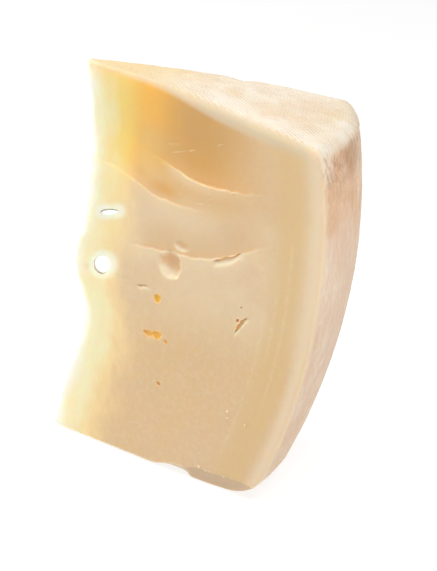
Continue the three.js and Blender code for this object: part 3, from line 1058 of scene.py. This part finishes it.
def painted_light_under_edge(nodes, base):
    """Painted glow of light through the cheese under the top edge, deep yellow turning to a painted tan
    shade towards the rim, with the pale band over it.
    """
    along = nodes.value("along_cut")
    below_top = nodes.value("below_top")
    glow_and_shade = nodes.mix(nodes.span(along, 18.5, 28.0), PAINTED_EDGE_GLOW_YELLOW, PAINTED_EDGE_GLOW_AMBER)
    soft = nodes.times(nodes.span(below_top, 8.0, 19.0), nodes.span(along, 20.0, 27.0))
    glow_and_shade = nodes.mix(soft, glow_and_shade, PAINTED_EDGE_GLOW_SOFT)
    glow_and_shade = nodes.mix(nodes.span(along, 27.0, 43.0), glow_and_shade, PAINTED_EDGE_SHADE_TAN)
    # painted glow and painted shade under the top edge
    base = nodes.layer(base, nodes.value("under_edge"), 0.88, glow_and_shade)
    band = nodes.span(along, *BAND_SPREAD, BAND_AT_TIP, BAND_AT_TIP + BAND_GROWTH)
    shoulder = nodes.math("SUBTRACT", below_top, band)
    base = nodes.mix(nodes.span(shoulder, 1.6, -1.3, 0.0, 0.85), base, BAND_TOP)
    return nodes.mix(nodes.span(nodes.value("from_rim"), 5.5, 1.5, 0.0, 0.85), base, BAND_PALE)


def painted_tip_glow(nodes, base, from_tip, wander):
    """Painted glow of light through the thin tip: pale and then white towards it, wider low down."""
    off_top = nodes.span(nodes.value("below_top"), 0.0, 4.0, 0.3, 1.0)
    wider = nodes.span(nodes.value("height"), 78.0, 52.0, 0.0, 4.0)
    pale = nodes.span(nodes.math("SUBTRACT", from_tip, wider), 10.0, 1.0, 0.0, 0.85)
    base = nodes.mix(nodes.times(pale, off_top), base, PAINTED_TIP_GLOW_PALE)
    fringe = nodes.math("ADD", nodes.value("from_tip"), nodes.times(wander, 0.35))
    white = nodes.span(fringe, 4.6, 0.2, 0.0, 0.95)
    return nodes.mix(nodes.times(white, off_top), base, PAINTED_GLOW_WHITE)


def painted_crease_and_foot_shade(nodes, base):
    """Painted shade, tan, above the crease, and painted shade on the strip along the foot, which faces down.
    """
    over = nodes.value("over_crease")
    above = nodes.times(nodes.span(over, 12.5, 3.0), nodes.span(over, -0.1, 0.8))
    above = nodes.times(above, nodes.value("reach_crease"))
    base = nodes.layer(base, above, 0.55, CREASE_PAINTED_SHADE)
    on_foot = nodes.times(nodes.span(nodes.value("over_foot"), 0.2, -0.15), nodes.value("reach_foot"))
    return nodes.layer(base, on_foot, 0.85, FOOT_PAINTED_SHADE)


def foot_edge_share(nodes, broken):
    over = nodes.value("over_foot")
    edge = nodes.times(nodes.span(over, -0.35, 0.0), nodes.span(over, 0.6, 0.15))
    return nodes.times(edge, nodes.times(nodes.value("foot_edge"), broken))


def paste_colour(nodes, marks):
    """Colour of the cut cheese: its ground, the painted glow and shade under its top edge and at its tip,
    its pale parts, and then the marks on it, many of them painted highlights, light and shade.
    """
    edge, painted_ledge, painted_shade_above, scratches = marks
    wander = nodes.span(nodes.noise(95.0, 4.0, 0.6, (1.0, 1.0, 0.5)), 0.25, 0.75, -4.0, 4.0)
    from_tip = nodes.math("ADD", nodes.value("from_tip"), wander)
    broken = nodes.span(nodes.noise(260.0, 3.0), 0.4, 0.65, 0.12, 0.42)
    base = painted_light_under_edge(nodes, ground_colour(nodes, from_tip))
    base = painted_crease_and_foot_shade(nodes, painted_tip_glow(nodes, base, from_tip, wander))
    # painted light on the upward-facing strips below the knife lines
    base = nodes.layer(base, painted_ledge, 0.62, PAINTED_LEDGE_LIGHT)
    # painted shade above the knife lines
    base = nodes.layer(base, painted_shade_above, 0.3, SHADE)
    # painted shade in the hollows above the left knife line
    base = nodes.layer(base, nodes.value("painted_hollow_shade"), 0.85, PAINTED_HOLLOW_SHADE)
    base = nodes.mix(foot_edge_share(nodes, broken), base, PALE_MARKS_AND_HIGHLIGHT)
    # painted highlight along the knife lines
    base = nodes.mix(nodes.times(edge, broken), base, PALE_MARKS_AND_HIGHLIGHT)
    # painted shade in the upper part of each shallow eye
    base = nodes.layer(base, nodes.value("shade"), 0.5, SHADE)
    # painted highlight on the lower edges of slits and eyes
    base = nodes.layer(base, nodes.value("lip"), 0.65, PALE_MARKS_AND_HIGHLIGHT)
    base = nodes.layer(base, scratches, 0.35, PALE_MARKS_AND_HIGHLIGHT)
    # painted light inside eyes and slits, against their shade
    base = nodes.layer(base, nodes.value("deep"), 0.85, PAINTED_CAVITY_LIGHT)
    base = nodes.layer(base, nodes.value("halo"), 0.75, PAINTED_GLOW_WHITE)
    # painted deep-yellow glow inside the small eyes
    return nodes.mix(nodes.value("painted_eye_glow"), base, PAINTED_EYE_GLOW)


def cloth_weave(nodes):
    """Print of the cloth: close diagonal threads broken up by the crossing ones."""
    threads = nodes.wave(CLOTH_PITCH, CLOTH_ANGLE, 2.2)
    crossing = nodes.wave(CLOTH_PITCH * CROSS_PITCH, CLOTH_ANGLE + math.pi / 2.0, 2.2)
    crossing = nodes.span(crossing, 0.0, 1.0, 0.72, 1.0)
    worn = nodes.span(nodes.noise(150.0, 4.0, 0.6), 0.38, 0.62, 0.45, 1.0)
    return nodes.times(nodes.times(threads, crossing), worn)


def top_colour(nodes, weave):
    peach = nodes.span(nodes.noise(48.0, 5.0, 0.65), 0.42, 0.66)
    peach = nodes.most(nodes.times(peach, 0.7), nodes.value("top_peach"))
    top = nodes.mix(peach, RIND_PALE, RIND_PEACH)
    yellow = nodes.times(nodes.span(nodes.noise(38.0, 2.0), 0.5, 0.66), 0.5)
    yellow = nodes.most(yellow, nodes.span(nodes.value("from_tip"), 40.0, 14.0, 0.0, 0.7))
    top = nodes.mix(yellow, top, RIND_YELLOW)
    white = nodes.span(nodes.noise(64.0, 5.0, 0.6), 0.44, 0.62)
    white = nodes.most(nodes.times(white, 0.75), nodes.value("top_flour"))
    top = nodes.mix(white, top, RIND_WHITE)
    tan = nodes.span(nodes.noise(85.0, 5.0, 0.65), 0.55, 0.72, 0.0, 0.35)
    top = nodes.mix(tan, top, RIM_TAN)
    near_tip = nodes.span(nodes.value("from_tip"), 38.0, 14.0)
    top = nodes.mix(near_tip, top, RIND_CREAM)
    softer = nodes.span(near_tip, 0.0, 1.0, 1.0, 0.5)
    groove = nodes.times(nodes.span(weave, 0.3, 0.95, 0.0, 0.5), softer)
    top = nodes.mix(groove, top, RIND_GROOVE)
    specks = nodes.span(nodes.noise(1100.0, 3.0, 0.6), 0.54, 0.72, 0.0, 0.5)
    return nodes.mix(specks, top, RIND_WHITE)


def side_colour(nodes):
    cloud = nodes.span(nodes.noise(62.0, 6.0, 0.68, (1.0, 1.0, 0.5)), 0.42, 0.62)
    side = nodes.mix(cloud, RIM_PINK, RIM_PALE)
    near_top = nodes.span(nodes.value("below_top"), 46.0, 12.0)
    tan = nodes.span(nodes.noise(52.0, 6.0, 0.7, (1.0, 1.0, 0.6)), 0.46, 0.64)
    tan = nodes.times(tan, nodes.span(near_top, 0.0, 1.0, 0.3, 0.7))
    patch = nodes.times(nodes.value("rim_tan"), nodes.span(nodes.noise(60.0, 3.0), 0.2, 0.5))
    tan = nodes.most(tan, nodes.span(nodes.value("height"), 45.0, 4.0, 0.0, 0.4))
    side = nodes.mix(tan, side, RIM_TAN)
    flour = nodes.span(nodes.noise(430.0, 6.0, 0.7, (1.0, 1.0, 0.5)), 0.5, 0.68, 0.0, 0.5)
    side = nodes.mix(nodes.most(flour, nodes.value("rim_flour")), side, RIND_WHITE)
    side = nodes.layer(side, patch, 0.8, RIM_RUST)
    strokes = nodes.span(nodes.noise(900.0, 5.0, 0.7, (1.0, 1.0, 0.4)), 0.46, 0.6)
    side = nodes.layer(side, nodes.value("rim_shade"), 0.55, RIM_BROWN)
    at_edge = nodes.span(nodes.value("below_top"), 15.0, 6.0, 0.12, 0.65)
    return nodes.mix(nodes.times(strokes, at_edge), side, RIM_BROWN)


def rind_colour(nodes, weave):
    on_side = nodes.span(nodes.value("below_top"), 0.4, 3.0)
    return nodes.mix(on_side, top_colour(nodes, weave), side_colour(nodes))


def skin_height(nodes, rind, weave, marks):
    """Height of the finest relief: pores and marks of the paste, threads of the top, grain of the rim."""
    edge, _, painted_shade_above, scratches = marks
    grain = nodes.noise(1900.0, 4.0, 0.6)
    pores = nodes.noise(620.0, 2.0, 0.5)
    fine = nodes.times(nodes.math("ADD", grain, pores), 0.5)
    on_top = nodes.times(rind, nodes.span(nodes.value("below_top"), 5.0, 1.5))
    threads = nodes.times(weave, nodes.times(on_top, -1.4))
    on_rim = nodes.times(rind, nodes.span(nodes.value("below_top"), 2.0, 8.0, 0.5, 3.0))
    crust = nodes.times(nodes.noise(420.0, 6.0, 0.7, (1.0, 1.0, 0.45)), on_rim)
    cuts = nodes.math("SUBTRACT", nodes.times(edge, 0.3), nodes.times(painted_shade_above, 0.6))
    cuts = nodes.math("ADD", cuts, nodes.times(scratches, 0.6))
    return nodes.math("ADD", nodes.math("ADD", nodes.math("ADD", fine, threads), crust), cuts)


def cheese_material():
    nodes = Nodes("cheese")
    rind = nodes.value("rind")
    weave = cloth_weave(nodes)
    shader = nodes.add("ShaderNodeBsdfPrincipled")
    marks = (*knife_marks(nodes), scratch_marks(nodes))
    base = nodes.mix(rind, paste_colour(nodes, marks), rind_colour(nodes, weave))
    nodes.link(base, shader.inputs["Base Color"])
    rough_paste = nodes.span(nodes.noise(420.0, 3.0), 0.3, 0.7, 0.36, 0.5)
    rough = nodes.add("ShaderNodeMix", data_type="FLOAT")
    nodes.link(rind, rough.inputs["Factor"])
    nodes.link(rough_paste, rough.inputs["A"])
    rough.inputs["B"].default_value = RIND_ROUGHNESS
    nodes.link(rough.outputs["Result"], shader.inputs["Roughness"])
    scatter = {"Subsurface Radius": SCATTER_COLOURS, "Subsurface Scale": SCATTER_DEPTH}
    put(shader, {"IOR": CHEESE_IOR, **scatter})
    nodes.link(nodes.span(rind, 0.0, 1.0, 1.0, 0.2), shader.inputs["Subsurface Weight"])
    bumps = nodes.add("ShaderNodeBump")
    put(bumps, {"Strength": 0.4, "Distance": BUMP_HEIGHT})
    nodes.link(skin_height(nodes, rind, weave, marks), bumps.inputs["Height"])
    nodes.link(bumps.outputs["Normal"], shader.inputs["Normal"])
    return nodes.finish(shader)


def crumb_material():
    nodes = Nodes("crumb")
    shader = nodes.add("ShaderNodeBsdfPrincipled")
    tone = nodes.span(nodes.noise(900.0, 2.0), 0.35, 0.65)
    nodes.link(nodes.mix(tone, BAND_PALE, PASTE), shader.inputs["Base Color"])
    scatter = {"Subsurface Radius": CRUMB_SCATTER_COLOURS, "Subsurface Scale": CRUMB_SCATTER_DEPTH}
    put(shader, {"Roughness": CRUMB_ROUGHNESS, "Subsurface Weight": 0.6, **scatter})
    return nodes.finish(shader)


# Pieces

FLOOR_HALF = 4.0
FLOOR_GREY = (0.22, 0.22, 0.22, 1.0)
WHITE = (1.0, 1.0, 1.0, 1.0)


def make_cheese():
    params, faces = closed_grid()
    piece = new_object("cheese_wedge", to_frame(settle(wedge_points(params))), faces)
    turn_faces_out(piece)
    cut_eyes(piece, shaved_eyes() + plain_eyes())
    surface_values(piece)
    finish_mesh(piece)
    piece.data.materials.clear()
    piece.data.materials.append(cheese_material())
    return piece


def crumb_places():
    """The larger crumbs, then small ones on the foot, along the right knife line and anywhere."""
    draw = np.random.default_rng(21)
    places = list(CRUMBS)
    for _ in range(8):
        u = draw.uniform(46.0, 72.0)
        z = float(foot_height(np.array(u))) + draw.uniform(-0.2, 0.5)
        places.append((u, z, draw.uniform(0.12, 0.24)))
    for _ in range(6):
        u = draw.uniform(47.0, 62.0)
        z = float(line_height(RIGHT_SHAVING["line"], np.array(u))) - 0.3
        places.append((u, z, draw.uniform(0.15, 0.28)))
    for _ in range(8):
        places.append((draw.uniform(18.0, 76.0), draw.uniform(8.0, 108.0), draw.uniform(0.12, 0.2)))
    return places


def make_crumbs():
    draw = np.random.default_rng(22)
    vertices, faces = [], []
    for u, z, size in crumb_places():
        centre = cut_point(u, z, surface_depth(-1, u, z) - size * 0.35, -1)
        radii = size * draw.uniform(0.7, 1.2, 3)
        lump_vertices, lump_faces = lump(centre, radii, cut_basis(-1, draw.uniform(0.0, 3.0)), 2, 0.35)
        start = len(vertices)
        vertices.extend(lump_vertices)
        faces.extend([[start + index for index in face] for face in lump_faces])
    piece = new_object("cheese_crumbs", to_frame(np.array(vertices)), faces)
    turn_faces_out(piece)
    piece.data.materials.append(crumb_material())
    return piece


def make_floor():
    corners = FLOOR_HALF * np.array([[-1.0, -1.0, 0.0], [1.0, -1.0, 0.0], [1.0, 1.0, 0.0], [-1.0, 1.0, 0.0]])
    floor = new_object("floor", corners, [(0, 1, 2, 3)])
    nodes = Nodes("floor")
    shader = nodes.add("ShaderNodeBsdfPrincipled")
    put(shader, {"Base Color": FLOOR_GREY, "Roughness": 0.9})
    put(shader, {"Emission Color": WHITE, "Emission Strength": 0.8})
    floor.data.materials.append(nodes.finish(shader))
    return floor


# Camera and light

CAMERA_PLACE = np.array([130.254, -400.036, 222.249])
CAMERA_AZIMUTH = math.radians(11.46)
CAMERA_ELEVATION = math.radians(22.13)
CAMERA_ROLL = math.radians(4.73)
CAMERA_LENS = 92.76

LIGHT_TARGET = (0.0, 0.0, 0.06)
KEY_LIGHT = {"place": (-0.8, 0.12, 0.5), "size": 0.8, "power": 6.5, "tint": (1.0, 0.985, 0.96)}
FRONT_LIGHT = {"place": (0.28, -0.38, 1.0), "size": 0.5, "power": 7.0, "tint": (1.0, 1.0, 1.0)}
SKY_STRENGTH = 0.38


def make_camera():
    azimuth, elevation, roll = CAMERA_AZIMUTH, CAMERA_ELEVATION, CAMERA_ROLL
    back = np.array([
        math.sin(azimuth) * math.cos(elevation),
        -math.cos(azimuth) * math.cos(elevation),
        math.sin(elevation),
    ])
    level = np.array([math.cos(azimuth), math.sin(azimuth), 0.0])
    upward = np.cross(back, level)
    right = level * math.cos(roll) + upward * math.sin(roll)
    up = -level * math.sin(roll) + upward * math.cos(roll)
    place = to_frame(CAMERA_PLACE)
    data = bpy.data.cameras.new("camera")
    data.lens = CAMERA_LENS
    data.sensor_width = 36.0
    data.clip_start = 0.01
    camera = bpy.data.objects.new("camera", data)
    bpy.context.scene.collection.objects.link(camera)
    matrix = Matrix.Identity(4)
    for row in range(3):
        matrix[row][0] = right[row]
        matrix[row][1] = up[row]
        matrix[row][2] = back[row]
        matrix[row][3] = place[row]
    camera.matrix_world = matrix
    bpy.context.scene.camera = camera


def add_light(name, place, size, power, tint):
    data = bpy.data.lights.new(name, "AREA")
    data.shape = "DISK"
    data.size = size
    data.energy = power
    data.color = tint
    light = bpy.data.objects.new(name, data)
    bpy.context.scene.collection.objects.link(light)
    light.location = place
    direction = np.array(place) - np.array(LIGHT_TARGET)
    light.rotation_euler = (
        math.atan2(math.hypot(direction[0], direction[1]), direction[2]),
        0.0,
        math.atan2(direction[1], direction[0]) + math.pi / 2.0,
    )


def light_scene():
    add_light("key", **KEY_LIGHT)
    add_light("front", **FRONT_LIGHT)
    world = bpy.data.worlds.new("studio")
    world.use_nodes = True
    put(world.node_tree.nodes["Background"], {"Color": WHITE, "Strength": SKY_STRENGTH})
    bpy.context.scene.world = world
    bpy.context.scene.view_settings.view_transform = "Standard"
    bpy.context.scene.view_settings.look = "None"


make_camera()
light_scene()
make_floor()

wedge = make_cheese()
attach(wedge, "root")
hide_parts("wedge")

crumbs = make_crumbs()
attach(crumbs, "root")
